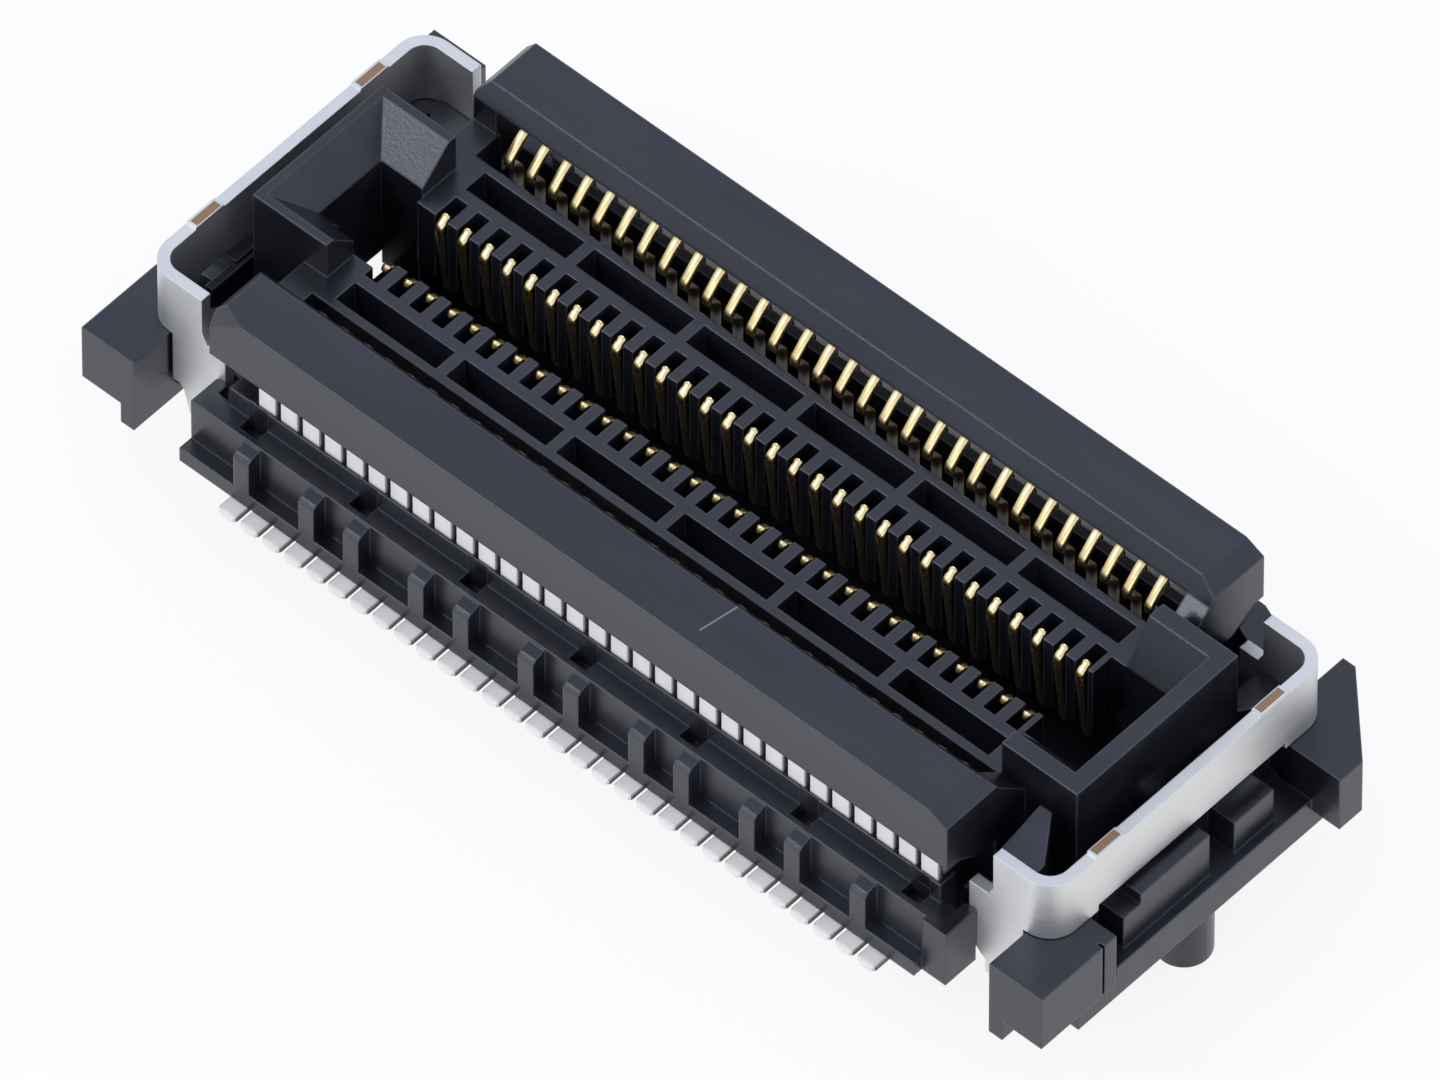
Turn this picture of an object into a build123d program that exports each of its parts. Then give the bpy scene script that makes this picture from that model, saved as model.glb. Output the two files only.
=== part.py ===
from build123d import *
from math import tan, acos, degrees
import os

os.makedirs("parts", exist_ok=True)

# Contact field, all sizes in mm. The origin is the board plane under the middle of the field.
pitch = 0.5
contacts_per_row = 30
contacts_per_node = 2
contacts_per_pocket = 5
fit_gap = 0.02
overlap = 0.05

# Contact strip
strip_t = 0.13
tail_w = 0.41
arm_w = 0.17
tail_reach = 0.32
top_bend_r = 0.34
slope_bend_r = 0.36
slope_l = 0.50
slope_drop = 0.05
loop_gap = 0.375
spring_inset = 0.18
bump_stand_out = 0.035
bump_drop = 0.21
tip_drop = 0.04
head_gap = 0.125
leg_gap = 0.06
arm_gap = 0.135
arm_set_back = 0.31
bulge_h = 0.24
width_step_drop = 0.13
stay_reach = 0.52
stay_root = 0.30
stay_gap = 0.25

# Floating housing, across the rows
valley_y = 0.62
comb_depth = 0.53
comb_clearance = 0.055
comb_wall = 0.23
pocket_w = 0.49
pocket_wall = 0.22
pocket_depth = 0.80
rib_wall = 0.17
contact_gap = 0.58
bar_w = 1.36
bar_wall = 0.18
bar_lead_in = 0.25
bar_lead_h = 0.34
bar_lip = 0.14
cap_lip = 0.25
cap_ramp = 0.53
cap_deep = 0.35
roof_t = 0.26
bridge_reach = 0.10

# Floating housing, heights and ends
rib_gap = 0.445
rib_h = 1.62
bar_rise = 0.93
bar_h = 1.25
end_drop = 0.10
end_lift = 0.14
skirt_w = 0.23
skirt_lift = 0.08
cap_rise = 0.20
bridge_drop = 0.40
field_margin = 0.57
bar_cap_l = 0.52
valley_run = 0.42
end_wall_l = 0.74
left_tooth_l = 0.55
left_mouth_l = 0.12
right_tooth_l = 0.25
left_funnel_rim = 0.17
right_funnel_rim = 0.34
funnel_start = 0.25
left_end_y = 1.62
left_valley_y = 0.77
left_mouth_y = 0.94
left_sill_rise = 0.18
right_end_y = 2.02
right_valley_y = 1.10
left_lead = 0.20
left_lead_h = 0.24
right_lead = 0.40
right_lead_h = 0.20
corner_cut_x = 0.73
corner_cut_y = 0.22
corner_cut_h = 0.55

# Fixed housing, floor and long walls
stand_off = 0.16
floor_t = 0.34
leg_wall_in = 0.275
leg_wall_out = 0.125
leg_wall_rise = 0.45
leg_wall_margin = 0.80
wall_t = 0.38
wall_h = 1.31
wall_end_l = 0.24
tab_wall_l = 0.17
raise_l = 0.70
raise_h = 0.75
raise_bevel = 0.39
foot_w = 0.30
foot_h = 0.33
foot_margin = 0.02
right_pad_w = 0.10
wall_rib_w = 0.34
wall_rib_pair = 0.51
wall_rib_shift = -0.2
wall_rib_drop = 0.03
wall_rib_lead = 0.08
notch_w = 0.42
notch_shift = 0.1
notch_in = 0.02
notch_wall = 0.12
notch_depth = 0.30

# Fixed housing, ends
deck_t = 0.60
end_plate_reach = 0.50
end_plate_l = 1.30
end_plate_y = 2.45
rail_l = 0.50
rail_w = 0.41
post_start = 0.06
post_w = 1.01
post_h = 1.74
key_post_h = 3.19
key_post_fall = 0.25
key_post_l = 0.25
key_post_w = 0.21
post_gap = 0.08
float_gap = 0.23
sill_l = 0.17
sill_drop = 0.10
lug_overlap = 0.10
lug_l = 0.60
back_lug_in_y = 0.73
back_lug_w = 0.99
back_lug_h = 0.77
front_lug_in_y = 0.10
front_lug_w = 1.72
front_lug_h = 1.04
front_step_w = 0.43
front_step_h = 0.79
ear_gap = 0.06
ear_l = 1.18
ear_in = 0.10
ear_w = 1.87
ear_h = 1.29
ear_foot_l = 0.30
ear_groove_y = 2.84
ear_groove_w = 0.06
ear_groove_d = 0.12
ear_pad_w = 0.95
key_reach = 0.55
key_face_w = 0.57
key_tip_l = 0.28
key_root_l = 0.65
well_gap = 0.08
well_reach = 0.40
window_l = 0.59
window_w = 0.80
window_y = 0.45
window_margin = 0.25
boss_in = 0.66
boss_d = 1.03
boss_l = 1.5
boss_lead = 0.12

# End brackets
plate_t = 0.22
bracket_gap = 0.58
bracket_h = 1.40
bracket_rise = 0.15
bracket_low_y = 2.35
bracket_bend_r = 0.58
bar_gap = 0.62
leg_l = 0.68
tab_l = 0.53
tab_rise = 0.30
tab_low_z = 0.65
tab_nick = 0.12
tab_foot_in = 0.16
tab_foot_z = 0.30
arch_in = 0.26
arch_z = 0.62
tie_y = 2.06
tie_l = 0.7
tie_h = 0.05

# Heights that follow from these sizes
floor_top_z = stand_off + floor_t
wall_z = stand_off + wall_h
leg_wall_z = wall_z + leg_wall_rise
foot_z = stand_off + foot_h
deck_z = stand_off + deck_t
ear_z = foot_z + ear_h
post_z = stand_off + post_h
key_post_z = stand_off + key_post_h
front_lug_z = deck_z + front_lug_h
loop_z = floor_top_z + loop_gap + strip_t / 2
rib_low_z = loop_z + strip_t / 2 + rib_gap
rib_top_z = rib_low_z + rib_h
bar_top_z = rib_top_z + bar_rise
bar_low_z = bar_top_z - bar_h
end_top_z = bar_top_z - end_drop
end_low_z = deck_z + end_lift
skirt_low_z = floor_top_z + skirt_lift
cap_low_z = end_low_z + cap_rise
leg_top_z = bar_top_z - roof_t - head_gap - strip_t / 2
bulge_z = rib_top_z - slope_drop
bracket_corner_z = ear_z + fit_gap
bracket_z = bracket_corner_z + bracket_h

# Places across the rows that follow
comb_slot_y = valley_y + comb_depth
pocket_in_y = comb_slot_y + comb_wall
pocket_out_y = pocket_in_y + pocket_w
rib_out_y = pocket_out_y + rib_wall
bulge_y = rib_out_y + arm_gap + strip_t / 2
arm_y = bulge_y + arm_set_back
spring_y = valley_y + spring_inset
bar_in_y = rib_out_y + contact_gap
bar_out_y = bar_in_y + bar_w
leg_y = bar_out_y - bar_wall - leg_gap - strip_t / 2
wall_in_y = leg_y - leg_wall_in
leg_wall_y = leg_y + leg_wall_out
wall_y = leg_wall_y + wall_t
foot_y = wall_y + foot_w
post_in_y = right_end_y + float_gap
rail_y = post_in_y + post_w
bracket_y = rail_y + fit_gap + plate_t
ear_in_y = end_plate_y + ear_in
ear_y = ear_in_y + ear_w

# Places along the rows that follow
field_half = (contacts_per_row - 1) / 2 * pitch
field_x = [i * pitch - field_half for i in range(contacts_per_row)]
pocket_pitch = contacts_per_pocket * pitch
pockets_per_row = contacts_per_row // contacts_per_pocket
pocket_l = pocket_pitch - pocket_wall
hollow_half = field_half + field_margin
bar_half = hollow_half + bar_cap_l
valley_end_x = bar_half + valley_run
end_x = valley_end_x + end_wall_l
bracket_x = end_x + bracket_gap + plate_t
leg_tip_x = bar_half + bar_gap
leg_out_x = leg_tip_x + leg_l
tab_x = leg_tip_x - tab_l
stay_x = field_half + pitch
leg_wall_half = field_half + leg_wall_margin
wall_half = tab_x + tab_wall_l
end_plate_x = bracket_x + end_plate_reach
deck_x = end_plate_x - end_plate_l
post_out_x = bracket_x - plate_t - post_gap
post_x = leg_tip_x - post_start
post_end_x = bracket_x - bracket_bend_r - fit_gap
ear_in_x = leg_out_x + ear_gap
ear_x = ear_in_x + ear_l
boss_x = end_plate_x - boss_in


def block(x0, x1, y0, y1, z0, z1):
    """Box between two corners."""
    centre = Pos((x0 + x1) / 2, (y0 + y1) / 2, (z0 + z1) / 2)
    return centre * Box(abs(x1 - x0), abs(y1 - y0), abs(z1 - z0))


def both_sides(shape):
    """The shape and its mirror image across the long middle plane."""
    return [shape, mirror(shape, about=Plane.XZ)]


def along_x(points, x0, x1):
    """Solid with an outline of (y, z) points, run from x0 to x1."""
    outline = Polyline(*[(0, y, z) for y, z in points], close=True)
    return extrude(Pos(x0, 0, 0) * make_face(outline), amount=x1 - x0, dir=(1, 0, 0))


def along_y(points, y0, y1):
    """Solid with an outline of (x, z) points, run from y0 to y1."""
    outline = Polyline(*[(x, 0, z) for x, z in points], close=True)
    return extrude(Pos(0, y0, 0) * make_face(outline), amount=y1 - y0, dir=(0, 1, 0))


def along_z(points, z0, z1):
    """Solid with an outline of (x, y) points, run from z0 to z1."""
    outline = Polyline(*[(x, y, 0) for x, y in points], close=True)
    return extrude(Pos(0, 0, z0) * make_face(outline), amount=z1 - z0, dir=(0, 0, 1))


def bent_line(points, bends):
    """Centre line through the points, each bend (radius, facets) turned in facets, none for a sharp one."""
    corners = [Vector(*p) for p in points]
    line = [corners[0]]
    for before, here, after, (r, facets) in zip(corners, corners[1:], corners[2:], bends):
        d1 = (here - before).normalized()
        d2 = (after - here).normalized()
        left = 1 if d1.X * d2.Y - d1.Y * d2.X > 0 else -1
        angle = acos(d1.dot(d2))
        start = here - d1 * (r * tan(angle / 2))
        centre = start + Vector(-d1.Y, d1.X) * (left * r)
        if facets:
            turns = [left * degrees(angle) * i / facets for i in range(facets + 1)]
            line += [centre + (start - centre).rotate(Axis.Z, turn) for turn in turns]
        else:
            line.append(here)
    return line + [corners[-1]]


def strip_side(line, off):
    """The line moved sideways by a distance, mitred at its corners."""
    runs = [(b - a).normalized() for a, b in zip(line, line[1:])]
    normals = [Vector(-d.Y, d.X) for d in runs]
    moved = [line[0] + normals[0] * off]
    for here, n1, n2 in zip(line[1:], normals, normals[1:]):
        moved.append(here + (n1 + n2) * (off / (1 + n1.dot(n2))))
    return moved + [line[-1] + normals[-1] * off]


def bent_strip(points, bends, width):
    """Strip of sheet bent along (y, z) points, centred on x = 0."""
    line = bent_line(points, bends)
    outline = strip_side(line, strip_t / 2) + strip_side(line, -strip_t / 2)[::-1]
    return along_x([(p.X, p.Y) for p in outline], -width / 2, width / 2)


# Spring contact: tail on the board, leg in the fixed wall, over and down into the slot,
# under the rib and up to the contact point beside the valley
def spring_contact():
    step_z = bar_low_z - width_step_drop
    tail = bent_strip(
        [(foot_y + tail_reach, strip_t / 2), (leg_y, strip_t / 2), (leg_y, step_z)], [(strip_t, 0)], tail_w,
    )
    arm = bent_strip(
        [
            (leg_y, step_z), (leg_y, leg_top_z), (bulge_y + slope_l, leg_top_z),
            (bulge_y, bulge_z), (arm_y, bulge_z - bulge_h), (arm_y, loop_z), (spring_y, loop_z),
            (valley_y - bump_stand_out, rib_top_z - bump_drop),
            (spring_y, rib_top_z - tip_drop),
        ],
        [(top_bend_r, 2), (slope_bend_r, 1)] + 5 * [(strip_t, 0)], arm_w,
    )
    return (tail + arm).solid()


# Row stay: metal piece beside the last leg, rooted in the leg wall and lying on its top
def row_stay():
    half_w = tail_w / 2
    shelf_z = leg_wall_z + fit_gap
    leg = block(-half_w, half_w, leg_y - strip_t / 2, leg_y + strip_t / 2,
                leg_wall_z - stay_root, bar_low_z - stay_gap)
    shelf = block(-half_w, half_w, leg_y - stay_reach, leg_y, shelf_z, shelf_z + strip_t)
    return (leg + shelf).solid()


# Floating housing: two hollow bars, pocketed ribs, combs and the valley between them
def bar_shell():
    """One bar, open below, with a lead-in along its inner edge and at both ends."""
    profile = [
        (bar_in_y, bar_top_z - bar_lead_h), (bar_in_y + bar_lead_in, bar_top_z), (bar_out_y, bar_top_z),
        (bar_out_y, bar_low_z), (bar_out_y - bar_wall, bar_low_z),
        (bar_out_y - bar_wall, bar_top_z - roof_t), (bar_in_y + bar_lip, bar_top_z - roof_t),
        (bar_in_y + bar_lip / 2, bar_top_z - bar_lead_h),
    ]
    cap_profile = [
        (bar_in_y, cap_low_z), (bar_in_y, bar_top_z - bar_lead_h), (bar_in_y + bar_lead_in, bar_top_z),
        (bar_out_y, bar_top_z), (bar_out_y, bar_low_z), (bar_out_y - cap_lip, bar_low_z),
        (bar_out_y - cap_lip - cap_ramp, bar_low_z - cap_deep), (bar_in_y + bar_lip, bar_low_z - cap_deep),
        (bar_in_y + bar_lip, cap_low_z),
    ]
    shell = along_x(profile, -bar_half, bar_half)
    caps = [along_x(cap_profile, s * hollow_half, s * bar_half) for s in (-1, 1)]
    lead = [
        (-bar_half, 0), (-bar_half, bar_top_z - left_lead_h), (-bar_half + left_lead, bar_top_z),
        (bar_half - right_lead, bar_top_z), (bar_half, bar_top_z - right_lead_h), (bar_half, 0),
    ]
    return shell.fuse(*caps) & along_y(lead, 0, bar_out_y)


def rib_and_comb():
    """Rib with its pockets and the comb of contact slots beside the valley."""
    rib = block(-hollow_half, hollow_half, valley_y, rib_out_y, rib_low_z, rib_top_z)
    ends = [
        block(s * (hollow_half - overlap), s * bar_half, valley_y, bar_in_y + overlap, end_low_z, rib_top_z)
        for s in (-1, 1)
    ]
    slot_half = arm_w / 2 + comb_clearance
    slots = [block(x - slot_half, x + slot_half, 0, comb_slot_y, 0, bar_top_z) for x in field_x]
    pocket_x = [(k - (pockets_per_row - 1) / 2) * pocket_pitch for k in range(pockets_per_row)]
    pocket_low_z = rib_top_z - pocket_depth
    pockets = [
        block(x - pocket_l / 2, x + pocket_l / 2, pocket_in_y, pocket_out_y, pocket_low_z, bar_top_z)
        for x in pocket_x
    ]
    return rib.fuse(*ends).cut(*slots, *pockets)


def end_block(side, half_y, valley_half_y, valley_z, rim):
    """End of the floating housing with the end of the valley and its lead-in funnel."""
    body = block(side * hollow_half, side * end_x, -half_y, half_y, end_low_z, end_top_z)
    skirt_y = valley_half_y + skirt_w
    skirt_z = end_low_z + overlap
    body += block(side * hollow_half, side * valley_end_x, -skirt_y, skirt_y, skirt_low_z, skirt_z)
    valley = block(0, side * valley_end_x, -valley_half_y, valley_half_y, 0, bar_top_z)
    rim_x = end_x - rim
    rim_y = half_y - rim
    start_x = field_half - funnel_start
    mouths = []
    for x, y, z in ((valley_end_x, valley_half_y, valley_z), (rim_x, rim_y, end_top_z)):
        corners = [(start_x, -y), (x, -y), (x, y), (start_x, y)]
        mouth = Polyline(*[(side * a, b, z) for a, b in corners], close=True)
        mouths.append(make_face(mouth).face())
    return body.cut(valley, loft(mouths))


def floating_housing():
    halves = both_sides(bar_shell().fuse(rib_and_comb()))
    left = end_block(-1, left_end_y, left_valley_y, rib_top_z + left_sill_rise, left_funnel_rim)
    right = end_block(1, right_end_y, right_valley_y, rib_top_z, right_funnel_rim)
    bridge_profile = [
        (right_end_y - overlap, rib_top_z - bridge_drop), (right_end_y - overlap, rib_top_z),
        (bar_in_y, bar_top_z - bar_lead_h), (bar_in_y + bridge_reach, bar_top_z - bar_lead_h),
        (bar_in_y + bridge_reach, rib_top_z - bridge_drop),
    ]
    bridges = both_sides(along_x(bridge_profile, hollow_half, bar_half))
    body = halves[0].fuse(halves[1], left, right, *bridges)
    wide_valleys = [
        block(-field_half - left_tooth_l, -valley_end_x, -left_valley_y, left_valley_y, 0, bar_top_z),
        block(-field_half - left_mouth_l, -bar_half, -left_mouth_y, 0, end_low_z, bar_top_z),
        block(field_half + right_tooth_l, valley_end_x, -right_valley_y, right_valley_y, 0, bar_top_z),
    ]
    body = body.cut(*wide_valleys)
    corner = Vector(-bar_half, -bar_out_y, bar_top_z - corner_cut_h)
    end_edge = Vector(-bar_half + left_lead, -bar_out_y + corner_cut_y, bar_top_z)
    side_edge = Vector(-bar_half + corner_cut_x, -bar_out_y, bar_top_z)
    across = (side_edge - end_edge).cross(corner - end_edge)
    marked = split(body, bisect_by=Plane(origin=corner, z_dir=across), keep=Keep.TOP)
    return marked.solid()


# Fixed housing: long walls that grip the contact legs, floor, end decks, posts, ears and pegs
def long_wall():
    leg_wall = block(-leg_wall_half, leg_wall_half, wall_in_y, leg_wall_y, stand_off, leg_wall_z)
    outer = block(-wall_half, wall_half, leg_wall_y - overlap, wall_y, stand_off, wall_z)
    ends = [
        block(s * (wall_half - wall_end_l), s * wall_half, bracket_y + fit_gap, leg_wall_y, stand_off, wall_z)
        for s in (-1, 1)
    ]
    foot_x = leg_wall_half + foot_margin
    foot = block(-wall_half, foot_x, wall_y - overlap, foot_y, stand_off, foot_z)
    right_pad = block(foot_x, wall_half, wall_y - overlap, wall_y + right_pad_w, stand_off, wall_z)
    rib_z = wall_z - wall_rib_drop
    rib_profile = [
        (wall_y - overlap, foot_z - overlap), (foot_y, foot_z - overlap), (foot_y, rib_z - 2 * wall_rib_lead),
        (foot_y - wall_rib_lead, rib_z - wall_rib_lead), (wall_y - overlap, rib_z),
    ]
    middle = pockets_per_row // 2
    rib_x = [
        k * pocket_pitch + wall_rib_shift + s * wall_rib_pair
        for k in range(-middle, middle + 1) for s in (-1, 1)
    ][1:-1]
    ribs = [along_x(rib_profile, x - wall_rib_w / 2, x + wall_rib_w / 2) for x in rib_x]
    leg_slots = [
        block(x - tail_w / 2 - fit_gap, x + tail_w / 2 + fit_gap,
              leg_y - strip_t / 2 - fit_gap, leg_y + strip_t / 2 + fit_gap, 0, bar_top_z)
        for x in field_x
    ]
    leg_slots.append(block(
        stay_x - tail_w / 2 - fit_gap, stay_x + tail_w / 2 + fit_gap, leg_y - strip_t / 2 - fit_gap,
        leg_y + strip_t / 2 + fit_gap, leg_wall_z - stay_root - fit_gap, bar_top_z,
    ))
    notch_x = [k * pocket_pitch + notch_shift for k in range(-middle, middle + 1)]
    notches = [
        block(x - notch_w / 2, x + notch_w / 2, leg_wall_y - notch_in, wall_y - notch_wall,
              wall_z - notch_depth, bar_top_z)
        for x in notch_x
    ]
    return outer.fuse(leg_wall, *ends, foot, right_pad, *ribs).cut(*leg_slots, *notches)


def raised_end():
    """Higher end of the back wall at the keyed corner, bevelled towards the bracket."""
    top_z = wall_z + raise_h
    raised = []
    for start, y0, y1 in (
        (wall_half - raise_l, leg_wall_y - overlap, wall_y),
        (leg_wall_half, bracket_y + fit_gap, leg_wall_y),
    ):
        profile = [
            (start, wall_z - overlap), (start, top_z), (wall_half - raise_bevel, top_z),
            (wall_half, top_z - raise_bevel), (wall_half, wall_z - overlap),
        ]
        raised.append(along_y(profile, y0, y1))
    return raised


def ear(sx, sy):
    """Guard at one corner of the housing, longer and bevelled at the keyed corner."""
    if sx > 0 and sy > 0:
        key_x = ear_x + key_reach
        key_y = ear_y + overlap
        outline = [
            (ear_in_x, ear_in_y), (ear_in_x + key_root_l, end_plate_y), (key_x, end_plate_y),
            (key_x, end_plate_y + key_face_w), (ear_in_x + key_tip_l, key_y), (ear_in_x, key_y),
        ]
    elif sx * sy < 0:
        groove_x = ear_x - ear_groove_d
        groove_end_y = ear_groove_y + ear_groove_w
        outline = [
            (ear_in_x, ear_in_y), (ear_x, ear_in_y), (ear_x, ear_groove_y), (groove_x, ear_groove_y),
            (groove_x, groove_end_y), (ear_x, groove_end_y), (ear_x, ear_y), (ear_in_x, ear_y),
        ]
    else:
        outline = [(ear_in_x, ear_in_y), (ear_x, ear_in_y), (ear_x, ear_y), (ear_in_x, ear_y)]
    guard = along_z([(sx * x, sy * y) for x, y in outline], foot_z, ear_z)
    low = foot_z + overlap
    foot = block(sx * ear_in_x, sx * (ear_in_x + ear_foot_l), sy * end_plate_y, sy * ear_y, 0, low)
    pad_y = end_plate_y + ear_pad_w
    pad = block(sx * post_out_x, sx * end_plate_x, sy * (end_plate_y - overlap), sy * pad_y, 0, low)
    return [guard, foot, pad]


def housing_end(sx):
    """Everything of the fixed housing beyond the long walls on one side."""
    deck_in_x = wall_half - lug_overlap
    deck_outline = [
        (sx * deck_in_x, stand_off), (sx * deck_x, stand_off), (sx * deck_x, 0), (sx * end_plate_x, 0),
        (sx * end_plate_x, deck_z), (sx * deck_in_x, deck_z),
    ]
    deck = along_y(deck_outline, -end_plate_y, end_plate_y)
    lug_in_x = post_out_x - lug_overlap
    lug_x = post_out_x + lug_l
    step_y = front_lug_in_y - front_lug_w
    front_lug = [
        (step_y - front_step_w, deck_z - overlap), (step_y - front_step_w, deck_z + front_step_h),
        (step_y, deck_z + front_step_h), (step_y, front_lug_z),
        (front_lug_in_y, front_lug_z), (front_lug_in_y, deck_z - overlap),
    ]
    peg = Pos(sx * boss_x, 0, (stand_off - boss_l) / 2) * Cylinder(boss_d / 2, boss_l + stand_off)
    well_y = (left_valley_y if sx < 0 else right_valley_y) + skirt_w + well_gap
    well = block(sx * (deck_in_x - overlap), sx * (valley_end_x + well_reach), -well_y, well_y,
                 floor_top_z, bar_top_z)
    window_x = deck_x - window_margin
    window = block(sx * (window_x - window_l), sx * window_x, -sx * window_y, -sx * (window_y + window_w),
                   0, bar_top_z)
    pieces = [
        block(sx * deck_in_x, sx * post_out_x, -rail_y, rail_y, stand_off, deck_z),
        block(sx * (post_out_x - sill_l), sx * post_out_x, -post_in_y - overlap, post_in_y + overlap,
              stand_off, front_lug_z - sill_drop),
        along_x(front_lug, sx * lug_in_x, sx * lug_x),
        block(sx * lug_in_x, sx * lug_x, back_lug_in_y, back_lug_in_y + back_lug_w,
              deck_z - overlap, deck_z + back_lug_h),
        chamfer(peg.edges().sort_by(Axis.Z)[0], boss_lead),
    ]
    post_outline = [
        (post_x, post_in_y), (post_x + key_post_l, post_in_y), (post_end_x, rail_y - key_post_w),
        (post_end_x, rail_y), (post_x, rail_y),
    ]
    slope = [
        (-rail_y, stand_off), (-rail_y, key_post_z - key_post_fall), (-post_in_y, key_post_z),
        (-post_in_y, stand_off),
    ]
    for sy in (-1, 1):
        pieces.append(block(sx * (wall_half - rail_l), sx * (post_x + overlap),
                            sy * (rail_y - rail_w), sy * rail_y, stand_off, wall_z))
        post = along_z([(sx * x, sy * y) for x, y in post_outline], stand_off, key_post_z)
        if sx > 0 and sy < 0:
            pieces.append(post & along_x(slope, post_x, post_end_x))
        else:
            pieces.append(post & block(sx * post_x, sx * post_end_x, -rail_y, rail_y, stand_off, post_z))
        pieces += ear(sx, sy)
    return deck.fuse(*pieces).cut(well, window)


def fixed_housing():
    walls = both_sides(long_wall())
    floor = block(-wall_half, wall_half, -rail_y, rail_y, stand_off, floor_top_z)
    edges = both_sides(block(-leg_wall_half, leg_wall_half, 0, wall_in_y + overlap, stand_off, floor_top_z))
    return floor.fuse(*edges, *walls, housing_end(-1), housing_end(1), *raised_end()).solid()


# End bracket: bent strip round the end, with soldering tabs on both legs
def wrap_side(x, y, r):
    """One side of the bracket strip in plan, from the tip of one leg to the tip of the other."""
    arm = bracket_x - bracket_bend_r
    turn_y = bracket_y - bracket_bend_r
    return [
        Line((leg_tip_x, -y), (arm, -y)),
        RadiusArc((arm, -y), (x, -turn_y), -r),
        Line((x, -turn_y), (x, turn_y)),
        RadiusArc((x, turn_y), (arm, y), -r),
        Line((arm, y), (leg_tip_x, y)),
    ]


def bracket():
    x_in = bracket_x - plate_t
    y_in = bracket_y - plate_t
    sides = wrap_side(bracket_x, bracket_y, bracket_bend_r) + wrap_side(x_in, y_in, bracket_bend_r - plate_t)
    ends = [Line((leg_tip_x, s * bracket_y), (leg_tip_x, s * y_in)) for s in (-1, 1)]
    wrap = extrude(Pos(0, 0, bracket_corner_z) * make_face(sides + ends),
                   amount=bracket_z - bracket_corner_z, dir=(0, 0, 1))
    shape = wrap - block(x_in - overlap, bracket_x + overlap, -bracket_low_y, bracket_low_y,
                         0, bracket_corner_z + bracket_rise)
    tab_top_z = bracket_corner_z + tab_rise
    tab_foot_x = leg_tip_x - tab_foot_in
    arch_x = leg_out_x - arch_in
    leg = [
        (leg_out_x, bracket_corner_z + plate_t), (leg_tip_x, bracket_corner_z + 2 * plate_t),
        (leg_tip_x, tab_top_z + 2 * tab_nick), (leg_tip_x - tab_nick, tab_top_z), (tab_x, tab_top_z),
        (tab_x, tab_low_z), (tab_foot_x, tab_foot_z), (tab_foot_x, 0), (arch_x - tab_nick, 0),
        (arch_x, arch_z - tab_nick), (arch_x + tab_nick, arch_z), (leg_out_x, arch_z),
    ]
    for s in (-1, 1):
        shape = shape + along_y(leg, s * y_in, s * bracket_y)
        shape = shape + block(x_in, bracket_x, s * tie_y - tie_l / 2, s * tie_y + tie_l / 2,
                              bracket_z - overlap, bracket_z + tie_h)
    return shape.solid()


back_contact = spring_contact()
right_bracket = bracket()
nodes = {
    "fixed_housing": fixed_housing(),
    "floating_housing": floating_housing(),
    "bracket_right": right_bracket,
    "bracket_left": mirror(right_bracket, about=Plane.YZ),
}
nodes_per_row = contacts_per_row // contacts_per_node
for row, shape, stay in zip(("back", "front"), both_sides(back_contact), both_sides(row_stay())):
    for n in range(nodes_per_row):
        group = field_x[n * contacts_per_node:(n + 1) * contacts_per_node]
        solids = [Pos(x, 0, 0) * shape for x in group]
        if n + 1 == nodes_per_row:
            solids.append(Pos(stay_x, 0, 0) * stay)
        nodes[f"contacts_{row}_{n + 1:02d}"] = Compound(children=solids)

for name, shape in nodes.items():
    shape.label = name
    export_step(shape, f"parts/{name}.step")
    print(name, round(shape.volume, 4))
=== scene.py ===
# %% [markdown]
# A low board to board connector, dressed for a product picture. The solids of the connector come
# from the frame at their real size, so everything here is placed in metres in that same frame.
# The script goes from the camera and the light to the finishes, and then to the pieces that need
# a finer shape than the solids have.

# %% Load the frame
from math import radians, sin, cos, tan, acos
import bpy
import bmesh
from mathutils import Vector, Matrix


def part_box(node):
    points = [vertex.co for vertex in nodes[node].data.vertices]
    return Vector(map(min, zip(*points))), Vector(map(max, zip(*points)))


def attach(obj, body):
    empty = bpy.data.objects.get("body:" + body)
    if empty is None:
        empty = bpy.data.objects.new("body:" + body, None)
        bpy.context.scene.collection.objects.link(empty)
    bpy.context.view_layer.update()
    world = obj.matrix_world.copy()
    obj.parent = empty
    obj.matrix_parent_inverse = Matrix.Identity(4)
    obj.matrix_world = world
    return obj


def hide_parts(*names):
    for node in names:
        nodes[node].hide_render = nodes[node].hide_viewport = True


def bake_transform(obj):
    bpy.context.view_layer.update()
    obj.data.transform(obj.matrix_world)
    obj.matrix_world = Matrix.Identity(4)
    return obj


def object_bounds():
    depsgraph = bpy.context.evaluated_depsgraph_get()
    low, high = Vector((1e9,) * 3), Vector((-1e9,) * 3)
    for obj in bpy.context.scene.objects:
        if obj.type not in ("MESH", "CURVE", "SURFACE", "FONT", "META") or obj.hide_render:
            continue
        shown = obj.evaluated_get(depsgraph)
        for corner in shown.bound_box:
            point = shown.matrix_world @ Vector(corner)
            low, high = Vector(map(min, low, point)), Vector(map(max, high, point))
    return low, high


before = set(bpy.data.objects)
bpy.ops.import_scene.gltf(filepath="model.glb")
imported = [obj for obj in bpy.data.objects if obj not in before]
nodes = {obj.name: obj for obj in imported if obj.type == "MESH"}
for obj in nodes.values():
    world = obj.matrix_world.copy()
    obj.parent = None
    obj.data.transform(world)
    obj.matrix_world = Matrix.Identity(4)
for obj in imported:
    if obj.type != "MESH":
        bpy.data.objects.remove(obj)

cad_low, cad_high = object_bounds()
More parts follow.
